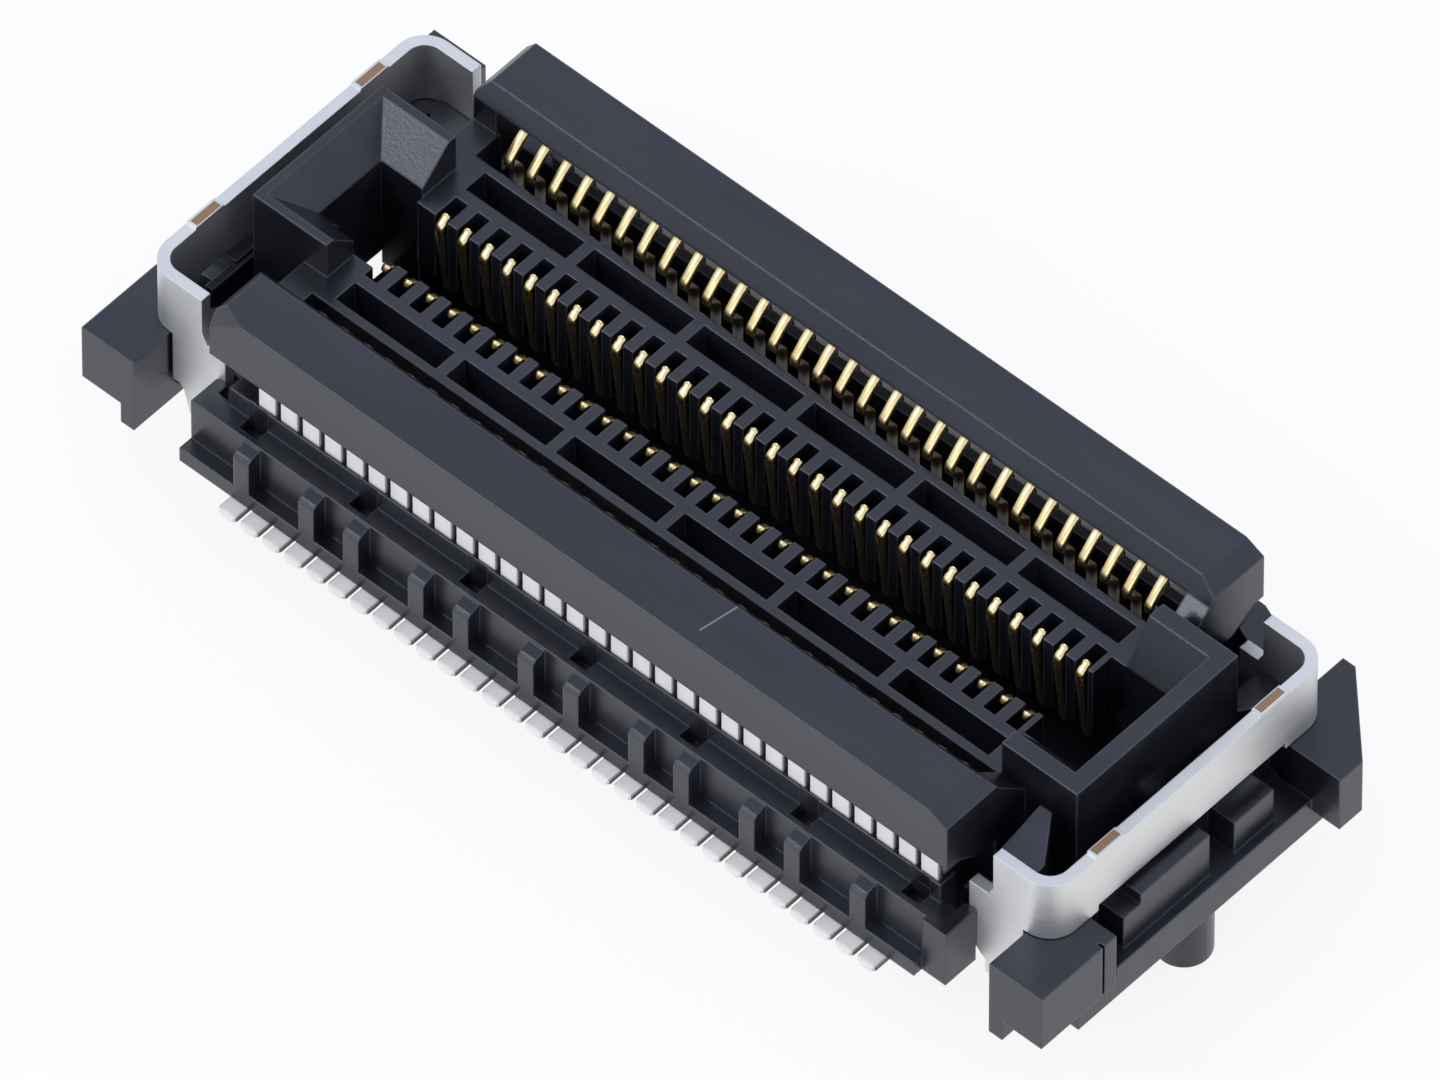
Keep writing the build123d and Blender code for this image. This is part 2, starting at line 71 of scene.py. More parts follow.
print("nodes", len(nodes), "box in mm",
      [round((b - a) * 1000, 2) for a, b in zip(cad_low, cad_high)])

# %% [markdown]
# Connector drawings are in millimetres and Blender works in metres here, so one factor turns a
# drawn size into a scene size. Colours are written as sRGB hex, the way a paint or plating chart
# gives them, and one function turns them to the linear values that the shaders expect.

# %% Units and colours
MM = 0.001


def linear(hex_colour):
    """Linear RGBA of an sRGB hex colour."""
    channels = [int(hex_colour[i:i + 2], 16) / 255 for i in (1, 3, 5)]
    return [c / 12.92 if c <= 0.04045 else ((c + 0.055) / 1.055) ** 2.4 for c in channels] + [1.0]


print("half grey in linear light", [round(c, 3) for c in linear("#808080")])

# %% [markdown]
# The picture is taken from far away with a long lens, so the rows stay almost parallel. The camera
# looks down at the end with the wide lead-in. It could be turned by hand until the picture looks
# right, but rows this long show every small error. So its angles, its distance and its aim come
# from a fit of known points, and the focal length fills a 36 mm wide sensor with the connector.

# %% Camera
view_azimuth = radians(42.117)
view_elevation = radians(50.604)
view_distance = 785.89 * MM
aim_right = -0.26 * MM
aim_up = 0.644 * MM
focal_mm = 1166.1
sensor_mm = 36
near_clip, far_clip = 0.05, 20

toward_camera = Vector((
    sin(view_azimuth) * cos(view_elevation),
    -cos(view_azimuth) * cos(view_elevation),
    sin(view_elevation),
))
picture_right = Vector((cos(view_azimuth), sin(view_azimuth), 0))
picture_up = toward_camera.cross(picture_right)
camera_data = bpy.data.cameras.new("camera")
camera_data.sensor_fit = "HORIZONTAL"
camera_data.sensor_width = sensor_mm
camera_data.lens = focal_mm
camera_data.clip_start = near_clip
camera_data.clip_end = far_clip
camera = bpy.data.objects.new("camera", camera_data)
bpy.context.scene.collection.objects.link(camera)
camera.location = toward_camera * view_distance + picture_right * aim_right + picture_up * aim_up
camera.rotation_euler = Matrix((picture_right, picture_up, toward_camera)).transposed().to_euler()
bpy.context.scene.camera = camera
print("camera at", [round(c, 4) for c in camera.location])

# %% [markdown]
# Every finish is a small node tree. One helper adds a node, sets what never changes and links what
# does, so that a tree reads from top to bottom as the finish is built up.


# %% Node helper
def add_node(tree, kind, settings=None, links=None, **properties):
    """A node with its properties, constant inputs and incoming links."""
    node = tree.nodes.new(kind)
    for name, value in properties.items():
        setattr(node, name, value)
    for name, value in (settings or {}).items():
        node.inputs[name].default_value = value
    for name, source in (links or {}).items():
        tree.links.new(source, node.inputs[name])
    return node


# A Mix node has one set of inputs for each kind of data, and only their numbers tell them apart.
COLOUR_A, COLOUR_B, COLOUR_OUT = 6, 7, 2
VECTOR_A, VECTOR_B, VECTOR_OUT = 4, 5, 1


def new_material(name):
    """An empty material and its tree."""
    material = bpy.data.materials.new(name)
    material.use_nodes = True
    material.node_tree.nodes.clear()
    return material, material.node_tree


print("colour inputs of a Mix node", COLOUR_A, COLOUR_B)

# %% [markdown]
# The connector stands on its two locating pegs on a wide sheet of white card. The card takes the
# soft shadow. It could be lit until it is white, but that would wash out the connector. So where
# the camera, a mirror-like plating or a clear piece looks at the card, most of it shines with the
# clean white of a catalogue page, and the rest is paper that keeps the shadow.

# %% White card
floor_z = cad_low.z
card_half = 0.5
card_white = "#f4f4f4"
page_share = 0.86

card_mesh = bpy.data.meshes.new("card")
corners = [(-card_half, -card_half, floor_z), (card_half, -card_half, floor_z),
           (card_half, card_half, floor_z), (-card_half, card_half, floor_z)]
card_mesh.from_pydata(corners, [], [(0, 1, 2, 3)])
card = bpy.data.objects.new("card", card_mesh)
bpy.context.scene.collection.objects.link(card)

card_material, tree = new_material("white_card")
paper = add_node(tree, "ShaderNodeBsdfDiffuse", {"Color": linear(card_white)})
glow = add_node(tree, "ShaderNodeEmission", {"Color": (1, 1, 1, 1), "Strength": 1.0})
rays = add_node(tree, "ShaderNodeLightPath")
direct = add_node(tree, "ShaderNodeMath", links={0: rays.outputs["Is Camera Ray"],
                                                 1: rays.outputs["Is Transmission Ray"]},
                  operation="MAXIMUM")
seen = add_node(tree, "ShaderNodeMath", links={0: direct.outputs[0],
                                               1: rays.outputs["Is Glossy Ray"]},
                operation="MAXIMUM")
share = add_node(tree, "ShaderNodeMath", {1: page_share}, {0: seen.outputs[0]},
                 operation="MULTIPLY")
mix = add_node(tree, "ShaderNodeMixShader",
               links={0: share.outputs[0], 1: paper.outputs[0], 2: glow.outputs[0]})
add_node(tree, "ShaderNodeOutputMaterial", links={"Surface": mix.outputs[0]})
card_mesh.materials.append(card_material)
print("card at", round(floor_z * 1000, 2), "mm")

# %% [markdown]
# Small parts are lit in a tent of pale cloth, which gives soft light from all round. The tent alone
# would leave the bends of the springs dull, so three soft lamps help it. A small one stands high on
# the camera's left and draws the bright spots on the gold. A broad low one in front models the long
# sides, and one on the right lights the end that faces the camera. The world is the tent's cloth,
# and it is plain white only where the camera sees it.

# %% Tent and lamps
tent_white = "#ebf0ff"
tent_level = 0.98
page_level = 1.0
lamp_places = [
    ("high_lamp", (-0.21, -0.32, 0.32), (0.13, 0.11), 0.5),
    ("side_lamp", (0.16, -0.44, 0.16), (0.30, 0.20), 0.25),
    ("end_lamp", (0.42, -0.04, 0.18), (0.20, 0.16), 0.2),
]

world = bpy.data.worlds.new("tent")
bpy.context.scene.world = world
world.use_nodes = True
tree = world.node_tree
tree.nodes.clear()
rays = add_node(tree, "ShaderNodeLightPath")
cloth = add_node(tree, "ShaderNodeBackground",
                 {"Color": linear(tent_white), "Strength": tent_level})
page = add_node(tree, "ShaderNodeBackground", {"Color": (1, 1, 1, 1), "Strength": page_level})
mix = add_node(tree, "ShaderNodeMixShader",
               links={0: rays.outputs["Is Camera Ray"], 1: cloth.outputs[0], 2: page.outputs[0]})
add_node(tree, "ShaderNodeOutputWorld", links={"Surface": mix.outputs[0]})


def soft_lamp(name, place, size, power):
    """A rectangular area lamp that points at the middle of the connector."""
    data = bpy.data.lights.new(name, "AREA")
    data.shape = "RECTANGLE"
    data.size, data.size_y = size
    data.energy = power
    lamp = bpy.data.objects.new(name, data)
    bpy.context.scene.collection.objects.link(lamp)
    lamp.location = place
    lamp.rotation_euler = (-Vector(place)).to_track_quat("-Z", "Y").to_euler()
    return lamp


lamps = [soft_lamp(*row) for row in lamp_places]
print("lamps", [o.name for o in lamps])

# %% [markdown]
# The corners of a moulding are slightly rounded, and each one catches the light as a thin pale
# line. They could be rounded in the mesh, but the solids of the frame keep their shape, and the
# rounding is only a twentieth of a millimetre. So the shader lights each corner as if it were
# round, and it also paints a pale highlight line into the colour there. An inner corner must stay
# dark: it sees little open sky, and that is how the shader tells it from an outer one.

# %% Rounded corners
edge_radius = 0.055 * MM
corner_reach = 0.25 * MM
inner_sky, outer_sky = 0.45, 0.75
flat_turn, corner_turn = 0.995, 0.80
edge_strength = 0.6
bevel_samples, sky_samples = 6, 4


def rounded_corners(tree):
    """The way a spot faces with outer corners rounded, and how much painted edge highlight it
    takes.
    """
    rounded = add_node(tree, "ShaderNodeBevel", {"Radius": edge_radius}, samples=bevel_samples)
    flat = add_node(tree, "ShaderNodeNewGeometry")
    open_sky = add_node(tree, "ShaderNodeAmbientOcclusion", {"Distance": corner_reach},
                        samples=sky_samples)
    outer = add_node(tree, "ShaderNodeMapRange", {"From Min": inner_sky, "From Max": outer_sky},
                     {"Value": open_sky.outputs["AO"]})
    turned = add_node(tree, "ShaderNodeMix", {}, {"Factor": outer.outputs[0]}, data_type="VECTOR")
    tree.links.new(flat.outputs["Normal"], turned.inputs[VECTOR_A])
    tree.links.new(rounded.outputs[0], turned.inputs[VECTOR_B])
    facing = add_node(tree, "ShaderNodeVectorMath",
                      links={0: turned.outputs[VECTOR_OUT], 1: flat.outputs["True Normal"]},
                      operation="DOT_PRODUCT")
    edge = add_node(tree, "ShaderNodeMapRange",
                    {"From Min": flat_turn, "From Max": corner_turn, "To Max": edge_strength},
                    {"Value": facing.outputs["Value"]})
    return turned.outputs[VECTOR_OUT], edge.outputs[0]


print("corner radius", round(edge_radius * 1000, 3), "mm")

# %% [markdown]
# Where two streams of melt met in the front bar, a pale knit line crosses its top at a slight lean.
# It could be a scratch in the mesh, but it is only a change of colour, narrower than a hair. So the
# finish marks each spot that is near the leaning line, within the width of the bar and at its top.

# %% Knit line
knit_lean = 0.165
knit_x = 3.114 * MM
knit_half_w = 0.018 * MM
knit_y = -3.12 * MM
knit_half_l = 0.55 * MM
knit_low_z = 3.5 * MM


def knit_line(tree, spot):
    """1 on the knit line and 0 beside it, from the separated place of a spot."""
    along_row = add_node(tree, "ShaderNodeMath", {1: -knit_lean},
                         {0: spot.outputs["Y"], 2: spot.outputs["X"]}, operation="MULTIPLY_ADD")
    on_line = add_node(tree, "ShaderNodeMath", {1: knit_x, 2: knit_half_w},
                       {0: along_row.outputs[0]}, operation="COMPARE")
    on_bar = add_node(tree, "ShaderNodeMath", {1: knit_y, 2: knit_half_l},
                      {0: spot.outputs["Y"]}, operation="COMPARE")
    on_top = add_node(tree, "ShaderNodeMath", {1: knit_low_z}, {0: spot.outputs["Z"]},
                      operation="GREATER_THAN")
    across_bar = add_node(tree, "ShaderNodeMath", links={0: on_line.outputs[0],
                                                         1: on_bar.outputs[0]},
                          operation="MULTIPLY")
    knit = add_node(tree, "ShaderNodeMath", links={0: across_bar.outputs[0],
                                                   1: on_top.outputs[0]},
                    operation="MULTIPLY")
    return knit.outputs[0]


print("knit line", round(knit_half_w * 2000, 3), "mm wide")

# %% [markdown]
# The two housings are moulded in black liquid crystal polymer filled with short glass fibres. It
# comes out of a spark-eroded mould, so the eye sees a dark blue-grey with a fine matt grain and
# faint streaks along the way that the melt ran. One stretched noise gives the streaks both their
# colour and their gloss, because on the real moulding the fibres change both together. The grain
# of about 0.04 mm is drawn at 0.06 mm so that it shows.

# %% Moulded black polymer
body_colour = "#121318"
streak_colour = "#22232a"
# Painted highlight: the pale colour that the outer corners take for the light they catch.
edge_highlight_colour = "#5e616c"
knit_colour = "#77736c"
cool_shine = "#eef1ff"
polymer_ior = 1.62
streak_size = 1.6 * MM
streak_pull = (0.25, 1.0, 1.0)
streak_low, streak_high = 0.42, 0.72
polymer_smooth, polymer_matt = 0.16, 0.46
grain_size = 0.06 * MM
grain_depth = 0.008 * MM
grain_strength = 0.25


def moulded_polymer(name):
    """Glass-filled black polymer from an eroded mould."""
    material, tree = new_material(name)
    place = add_node(tree, "ShaderNodeTexCoord")
    spot = add_node(tree, "ShaderNodeSeparateXYZ", links={"Vector": place.outputs["Object"]})
    stretch = add_node(tree, "ShaderNodeMapping", {"Scale": streak_pull},
                       {"Vector": place.outputs["Object"]})
    streaks = add_node(tree, "ShaderNodeTexNoise",
                       {"Scale": 1 / streak_size, "Detail": 6.0, "Roughness": 0.6},
                       {"Vector": stretch.outputs[0]})
    streak_ramp = add_node(tree, "ShaderNodeMapRange",
                           {"From Min": streak_low, "From Max": streak_high},
                           {"Value": streaks.outputs["Fac"]})
    grain = add_node(tree, "ShaderNodeTexNoise", {"Scale": 1 / grain_size, "Detail": 2.0},
                     {"Vector": place.outputs["Object"]})
    corner_normal, corner = rounded_corners(tree)
    body = add_node(tree, "ShaderNodeMix", links={"Factor": streak_ramp.outputs[0]},
                    data_type="RGBA")
    body.inputs[COLOUR_A].default_value = linear(body_colour)
    body.inputs[COLOUR_B].default_value = linear(streak_colour)
    marked = add_node(tree, "ShaderNodeMix", links={"Factor": knit_line(tree, spot)},
                      data_type="RGBA")
    tree.links.new(body.outputs[COLOUR_OUT], marked.inputs[COLOUR_A])
    marked.inputs[COLOUR_B].default_value = linear(knit_colour)
    # Painted highlight: outer corners are mixed towards the pale edge colour.
    edge_lit = add_node(tree, "ShaderNodeMix", links={"Factor": corner}, data_type="RGBA")
    tree.links.new(marked.outputs[COLOUR_OUT], edge_lit.inputs[COLOUR_A])
    edge_lit.inputs[COLOUR_B].default_value = linear(edge_highlight_colour)
    gloss = add_node(tree, "ShaderNodeMapRange",
                     {"To Min": polymer_smooth, "To Max": polymer_matt},
                     {"Value": streaks.outputs["Fac"]})
    bump = add_node(tree, "ShaderNodeBump", {"Strength": grain_strength, "Distance": grain_depth},
                    {"Height": grain.outputs["Fac"], "Normal": corner_normal})
    surface = add_node(tree, "ShaderNodeBsdfPrincipled",
                       {"IOR": polymer_ior, "Specular Tint": linear(cool_shine)},
                       {"Base Color": edge_lit.outputs[COLOUR_OUT], "Roughness": gloss.outputs[0],
                        "Normal": bump.outputs[0]})
    add_node(tree, "ShaderNodeOutputMaterial", links={"Surface": surface.outputs[0]})
    return material


polymer = moulded_polymer("moulded_black_polymer")
print("polymer nodes", len(polymer.node_tree.nodes))

# %% [markdown]
# The end brackets are pressed from copper alloy strip that is tin plated before it is cut. Where
# each bracket was cut from its carrier, the bare copper shows on top of two small nubs, as a warm
# brown patch. The patches could be pieces of their own, but they have no thickness. So they are
# marked in the finish, by height and by their place along and across the strip.

# %% Bare copper cuts
copper_colour = "#a08468"
bracket_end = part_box("bracket_right")[1]
cut_height = bracket_end[2] - 0.02 * MM
cut_x = bracket_end[0] - 0.12 * MM
cut_half_w = 0.08 * MM
cut_y = 2.06 * MM
cut_half_l = 0.30 * MM


def bare_cuts(tree, spot):
    """1 on the sheared nubs of both brackets and 0 elsewhere."""
    top = add_node(tree, "ShaderNodeMath", {1: cut_height}, {0: spot.outputs["Z"]},
                   operation="GREATER_THAN")
    from_middle = add_node(tree, "ShaderNodeMath", links={0: spot.outputs["X"]},
                           operation="ABSOLUTE")
    across = add_node(tree, "ShaderNodeMath", {1: cut_x, 2: cut_half_w},
                      {0: from_middle.outputs[0]}, operation="COMPARE")
    from_centre = add_node(tree, "ShaderNodeMath", links={0: spot.outputs["Y"]},
                           operation="ABSOLUTE")
    along = add_node(tree, "ShaderNodeMath", {1: cut_y, 2: cut_half_l},
                     {0: from_centre.outputs[0]}, operation="COMPARE")
    patch = add_node(tree, "ShaderNodeMath", links={0: across.outputs[0], 1: along.outputs[0]},
                     operation="MULTIPLY")
    cut = add_node(tree, "ShaderNodeMath", links={0: patch.outputs[0], 1: top.outputs[0]},
                   operation="MULTIPLY")
    return cut.outputs[0]


print("bare copper above", round(cut_height * 1000, 2), "mm")

# %% [markdown]
# Tin plating on strip is a soft silver-grey with a rolled grain, drawn out along the strip, and
# with faint clouds where the coat is thicker. The contact legs have matt tin, which scatters part
# of the light like paint, most of all on the tails. Their stamped sides, which face along the row,
# are painted dark: partly the bare metal where the cut went through the plating, partly painted
# shade that keeps the narrow gaps between the legs dark. One function makes both, because only
# colours, gloss and the share of scattered light differ.

# %% Tin plating
roll_size = 0.9 * MM
roll_pull = (1.0, 1.0, 12.0)
roll_depth = 0.004 * MM
roll_strength = 0.15
strip_edge_radius = 0.03 * MM
strip_edge_samples = 4
side_from, side_full = 0.5, 0.8
tail_high_z, leg_low_z = 0.20 * MM, 0.45 * MM


def tin_plate(name, light, deep, side, smooth, matt, tail_metal, leg_metal):
    """Tin on rolled copper alloy, between two colours and two roughnesses, with the faces along the
    row in the side colour, which on the legs is partly painted shade.
    """
    material, tree = new_material(name)
    place = add_node(tree, "ShaderNodeTexCoord")
    spot = add_node(tree, "ShaderNodeSeparateXYZ", links={"Vector": place.outputs["Object"]})
    stretch = add_node(tree, "ShaderNodeMapping", {"Scale": roll_pull},
                       {"Vector": place.outputs["Object"]})
    rolled = add_node(tree, "ShaderNodeTexNoise",
                      {"Scale": 1 / roll_size, "Detail": 8.0, "Roughness": 0.65},
                      {"Vector": stretch.outputs[0]})
    clouds = add_node(tree, "ShaderNodeTexNoise", {"Scale": 1 / roll_size, "Detail": 2.0},
                      {"Vector": place.outputs["Object"]})
    coat = add_node(tree, "ShaderNodeMix", links={"Factor": clouds.outputs["Fac"]},
                    data_type="RGBA")
    coat.inputs[COLOUR_A].default_value = linear(deep)
    coat.inputs[COLOUR_B].default_value = linear(light)
    flat = add_node(tree, "ShaderNodeNewGeometry")
    sideways = add_node(tree, "ShaderNodeSeparateXYZ",
                        links={"Vector": flat.outputs["True Normal"]})
    either = add_node(tree, "ShaderNodeMath", links={0: sideways.outputs["X"]},
                      operation="ABSOLUTE")
    # The faces that look along the row take the side colour; on the legs it is partly painted shade
    # in the gaps between them.
    sheared_and_shaded = add_node(tree, "ShaderNodeMapRange", {"From Min": side_from, "From Max": side_full},
                       {"Value": either.outputs[0]})
    sides = add_node(tree, "ShaderNodeMix", links={"Factor": sheared_and_shaded.outputs[0]},
                     data_type="RGBA")
    tree.links.new(coat.outputs[COLOUR_OUT], sides.inputs[COLOUR_A])
    sides.inputs[COLOUR_B].default_value = linear(side)
    colour = add_node(tree, "ShaderNodeMix", links={"Factor": bare_cuts(tree, spot)},
                      data_type="RGBA")
    tree.links.new(sides.outputs[COLOUR_OUT], colour.inputs[COLOUR_A])
    colour.inputs[COLOUR_B].default_value = linear(copper_colour)
    gloss = add_node(tree, "ShaderNodeMapRange", {"To Min": smooth, "To Max": matt},
                     {"Value": rolled.outputs["Fac"]})
    metal = add_node(tree, "ShaderNodeMapRange",
                     {"From Min": tail_high_z, "From Max": leg_low_z,
                      "To Min": tail_metal, "To Max": leg_metal},
                     {"Value": spot.outputs["Z"]})
    rounded = add_node(tree, "ShaderNodeBevel", {"Radius": strip_edge_radius},
                       samples=strip_edge_samples)
    bump = add_node(tree, "ShaderNodeBump", {"Strength": roll_strength, "Distance": roll_depth},
                    {"Height": rolled.outputs["Fac"], "Normal": rounded.outputs[0]})
    surface = add_node(tree, "ShaderNodeBsdfPrincipled",
                       links={"Base Color": colour.outputs[COLOUR_OUT],
                              "Roughness": gloss.outputs[0], "Normal": bump.outputs[0],
                              "Metallic": metal.outputs[0]})
    add_node(tree, "ShaderNodeOutputMaterial", links={"Surface": surface.outputs[0]})
    return material


bracket_tin = tin_plate("tin_plated_strip", light="#e8e8e6", deep="#d8dadd", side="#e4e4e3",
                        smooth=0.40, matt=0.62, tail_metal=1.0, leg_metal=1.0)
# The dark side colour of the legs is partly the bare sheared edge and partly painted shade for the
# gaps between them.
leg_tin = tin_plate("matt_tin_plated_leg", light="#f2f0eb", deep="#dedcd8", side="#6e675f",
                    smooth=0.60, matt=0.78, tail_metal=0.2, leg_metal=0.4)
print("tin finishes", bracket_tin.name, leg_tin.name)

# %% [markdown]
# The springs are phosphor bronze with a thin coat of hard gold on the upper bends and the contact
# points. Hard gold is polished by the rolls and the press, so it gives small bright highlights in a
# warm pale yellow, and it goes brown where it only sees the dark housing. Below the gold the strip
# is bare bronze. The arm under each hoop has a satin coat of nickel in a pale colour that scatters
# part of the light. That pale colour is painted light for the light that falls down the narrow slot
# onto the arm: it is full low on the arm and gives way to the bronze towards the hoop. The coats
# could be pieces of their own, but they are far too thin, so the finish changes with height and
# with the distance from the middle of the connector.

# %% Hard gold
gold_light = "#f8e6b4"
gold_deep = "#e4c888"
bronze_colour = "#8c7862"
# Painted light: the pale satin colour makes the arms under the hoops read as lit in their slots.
nickel_painted_light_colour = "#f4eee2"
cloud_size = 0.25 * MM
hoop_from_y = 1.5 * MM
gold_from = 2.66 * MM
gold_fade = 0.08 * MM
hoop_extra = 0.28 * MM
arm_bright_z, arm_dark_z = 2.48 * MM, 2.66 * MM
arm_metal = 0.6
bronze_rough, nickel_rough = 0.44, 0.80
gold_smooth, gold_matt = 0.20, 0.34


def coat_limits(tree, spot):
    """How much of a spot is gold, and how much is the pale arm under a hoop, whose painted light
    fades out upward.
    """
    from_middle = add_node(tree, "ShaderNodeMath", links={0: spot.outputs["Y"]},
                           operation="ABSOLUTE")
    at_hoop = add_node(tree, "ShaderNodeMath", {1: hoop_from_y}, {0: from_middle.outputs[0]},
                       operation="GREATER_THAN")
    raised = add_node(tree, "ShaderNodeMath", {1: -hoop_extra},
                      {0: at_hoop.outputs[0], 2: spot.outputs["Z"]}, operation="MULTIPLY_ADD")
    plated = add_node(tree, "ShaderNodeMapRange",
                      {"From Min": gold_from, "From Max": gold_from + gold_fade},
                      {"Value": raised.outputs[0]})
    # Painted light: full below arm_bright_z and gone above arm_dark_z.
    low = add_node(tree, "ShaderNodeMapRange", {"From Min": arm_dark_z, "From Max": arm_bright_z},
                   {"Value": spot.outputs["Z"]})
    lit_arm = add_node(tree, "ShaderNodeMath", links={0: at_hoop.outputs[0], 1: low.outputs[0]},
                      operation="MULTIPLY")
    return plated.outputs[0], lit_arm.outputs[0]


def hard_gold(name):
    """Gold plate on the upper bends of a stamped strip, bronze below them, and pale satin nickel
    with painted light on the arms under the hoops.
    """
    material, tree = new_material(name)
    place = add_node(tree, "ShaderNodeTexCoord")
    spot = add_node(tree, "ShaderNodeSeparateXYZ", links={"Vector": place.outputs["Object"]})
    plated, lit_arm = coat_limits(tree, spot)
    clouds = add_node(tree, "ShaderNodeTexNoise", {"Scale": 1 / cloud_size, "Detail": 4.0},
                      {"Vector": place.outputs["Object"]})
    gold = add_node(tree, "ShaderNodeMix", links={"Factor": clouds.outputs["Fac"]},
                    data_type="RGBA")
    gold.inputs[COLOUR_A].default_value = linear(gold_deep)
    gold.inputs[COLOUR_B].default_value = linear(gold_light)
    under = add_node(tree, "ShaderNodeMix", links={"Factor": lit_arm}, data_type="RGBA")
    under.inputs[COLOUR_A].default_value = linear(bronze_colour)
    under.inputs[COLOUR_B].default_value = linear(nickel_painted_light_colour)
    strip = add_node(tree, "ShaderNodeMix", links={"Factor": plated}, data_type="RGBA")
    tree.links.new(under.outputs[COLOUR_OUT], strip.inputs[COLOUR_A])
    tree.links.new(gold.outputs[COLOUR_OUT], strip.inputs[COLOUR_B])
    satin = add_node(tree, "ShaderNodeMapRange", {"To Min": bronze_rough, "To Max": nickel_rough},
                     {"Value": lit_arm})
    polish = add_node(tree, "ShaderNodeMapRange", {"To Min": gold_smooth, "To Max": gold_matt},
                      {"Value": clouds.outputs["Fac"]})
    gloss = add_node(tree, "ShaderNodeMix",
                     links={"Factor": plated, "A": satin.outputs[0], "B": polish.outputs[0]})
    metal = add_node(tree, "ShaderNodeMapRange", {"To Min": 1.0, "To Max": arm_metal},
                     {"Value": lit_arm})
    surface = add_node(tree, "ShaderNodeBsdfPrincipled",
                       links={"Base Color": strip.outputs[COLOUR_OUT],
                              "Roughness": gloss.outputs[0], "Metallic": metal.outputs[0]})
    add_node(tree, "ShaderNodeOutputMaterial", links={"Surface": surface.outputs[0]})
    return material


spring_gold = hard_gold("hard_gold_plate")
print("gold from", round(gold_from * 1000, 2), "mm up,", spring_gold.name)

# %% [markdown]
# The housings and brackets keep the shape of their solids and only take their finish. They could be
# copied and dressed, but the solids already have every face that shows. So each node's object has
# its material slots replaced by the finish of what it is made of.

# %% Dress the solids
solid_finishes = {
    "fixed_housing": polymer, "floating_housing": polymer,
    "bracket_right": bracket_tin, "bracket_left": bracket_tin,
}
for name, material in solid_finishes.items():
    nodes[name].data.materials.clear()
    nodes[name].data.materials.append(material)
print("dressed", list(solid_finishes))

# %% [markdown]
# Each contact is one strip of bronze, stamped to shape and bent: a tail on the board, a leg held in
# the wall, a hoop over into the slot, a loop under the rib and a spring that ends in the rounded
# contact point. The solid has it in plain facets. Here the same strip follows true arcs, with the
# slightly rounded edges that stamping leaves, so that the gold gives soft long highlights. Bending
# a line of points by formula and sweeping one rounded section along it is how the press makes it,
# and it keeps the strip's thickness the same in every bend. The sizes are in millimetres: y runs
# outward from the middle of the connector and z up from the board.

# %% Contact strip sizes
strip_t = 0.13
tail_w = 0.41
arm_w = 0.17
edge_r = 0.022
leg_y = 3.675
tail_tip_y = 4.80
step_z = 2.62
leg_top_z = 3.55
hoop_y = 2.74
bulge_y = 2.24
bulge_z = 3.02
arm_y = 2.55
arm_top_z = 2.78
loop_z = 0.94
spring_y = 0.80
point_y = 0.585
point_z = 2.86
tip_z = 3.03
bend_radii = [0.17, 0.34, 0.50, 0.16, 0.16, 0.36, 0.36, 0.10]
bend_step = radians(14)
flex_step = 0.4

centre_points = [
    (tail_tip_y, strip_t / 2), (leg_y, strip_t / 2), (leg_y, leg_top_z), (hoop_y, leg_top_z),
    (bulge_y, bulge_z), (arm_y, arm_top_z), (arm_y, loop_z), (spring_y, loop_z),
    (point_y, point_z), (spring_y, tip_z),
]
print("corners of the strip", len(centre_points) - 2)


# %% Bend the centre line
def bent_line(points, radii, step):
    """Points (y, z) along a line whose corners are true arcs."""
    corners = [Vector(p) for p in points]
    line = [corners[0]]
    for before, here, after, r in zip(corners, corners[1:], corners[2:], radii):
        d1 = (here - before).normalized()
        d2 = (after - here).normalized()
        left = 1 if d1.x * d2.y - d1.y * d2.x > 0 else -1
        angle = acos(max(-1, min(1, d1.dot(d2))))
        start = here - d1 * (r * tan(angle / 2))
        centre = start + Vector((-d1.y, d1.x)) * (left * r)
        count = max(2, round(angle / step))
        for i in range(count + 1):
            turn = Matrix.Rotation(left * angle * i / count, 2)
            line.append(centre + turn @ (start - centre))
    return line + [corners[-1]]


def add_between(line, length):
    """The same line with its long runs divided, so that it can flex smoothly."""
    out = [line[0]]
    for a, b in zip(line, line[1:]):
        parts = max(1, round((b - a).length / length))
        out += [a.lerp(b, i / parts) for i in range(1, parts + 1)]
    return out


centre_line = add_between(bent_line(centre_points, bend_radii, bend_step), flex_step)
print("centre line points", len(centre_line))

# %% [markdown]
# The press blanks the strip wide at the tail and the leg and narrow above a shoulder, and it rounds
# both ends. The line gets a half width at each point for this. At the shoulder two points almost
# meet, which makes the step square as on the real strip, and at the ends a few points close in
# along a quarter circle.

# %% Widths along the strip
near = 0.001
shoulder_t = 0.01
tail_round, tail_end_share = 0.08, 0.45
tip_round, tip_end_share = 0.06, 0.5


